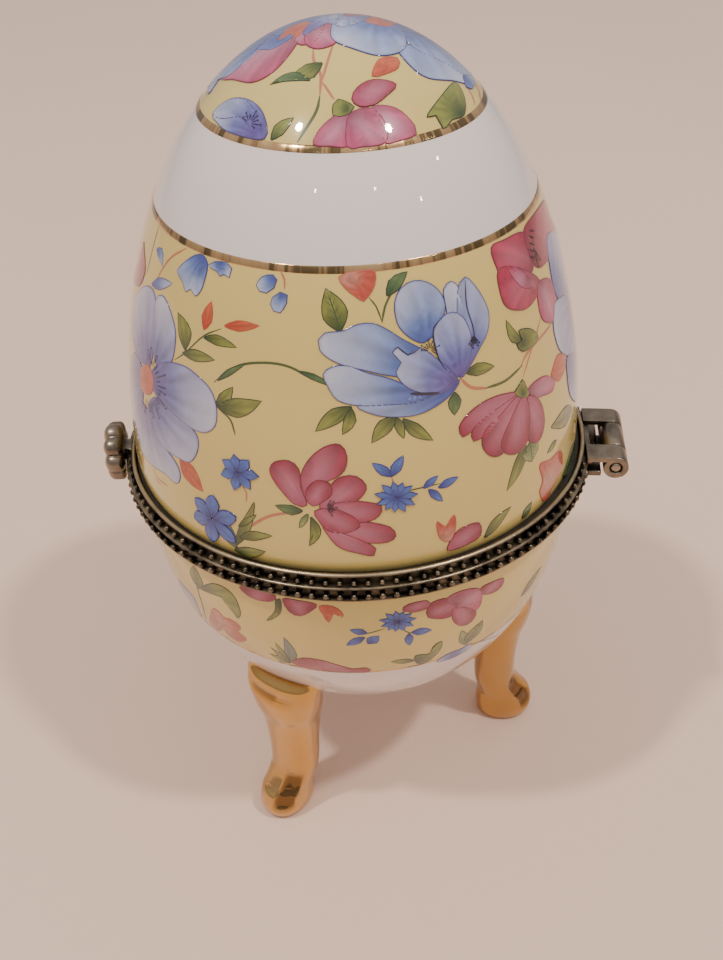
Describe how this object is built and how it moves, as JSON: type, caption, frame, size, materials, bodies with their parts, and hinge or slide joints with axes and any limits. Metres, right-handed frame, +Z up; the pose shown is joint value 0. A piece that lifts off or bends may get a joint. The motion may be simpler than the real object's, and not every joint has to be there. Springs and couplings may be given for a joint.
{
  "type": "egg-shaped porcelain trinket box",
  "caption": "Egg-shaped footed porcelain trinket box with beaded brass bezels, a rear knuckle hinge, a flower-shaped front clasp plaque and gilded feet.",
  "frame": {"origin": "on the table under the middle of the box's overall width and length, with the length taken from the clasp plaque to the hinge", "axes": "+Z up, +Y from the clasp towards the hinge, +X along the hinge axis to the left of someone who faces the hinge"},
  "size_m": [0.0672, 0.0746, 0.1164],
  "materials": {
    "glazed_porcelain": "gloss glaze over printed flowers",
    "gold_lustre": "polished gold lustre",
    "aged_brass": "dark aged, worn bright on the edges",
    "cement": "dark matte"
  },
  "bodies": {
    "base": {"lower_shell": "glazed_porcelain", "lower_cement": "cement", "lower_bezel": "aged_brass", "hinge_leaf_lower": "aged_brass", "hinge_pin": "aged_brass", "catch_stud": "aged_brass", "foot_rear": "gold_lustre", "foot_front_left": "gold_lustre", "foot_front_right": "gold_lustre"},
    "lid": {"upper_shell": "glazed_porcelain", "upper_cement": "cement", "upper_bezel": "aged_brass", "hinge_leaf_upper": "aged_brass", "clasp_plaque": "aged_brass", "clasp_bracket": "aged_brass"}
  },
  "joints": [
    {"name": "lid_hinge", "type": "hinge", "parent": "base", "child": "lid", "pos_m": [0, 0.03559, 0.05805], "axis": [-1, 0, 0], "range_deg": [0, 100]}
  ]
}
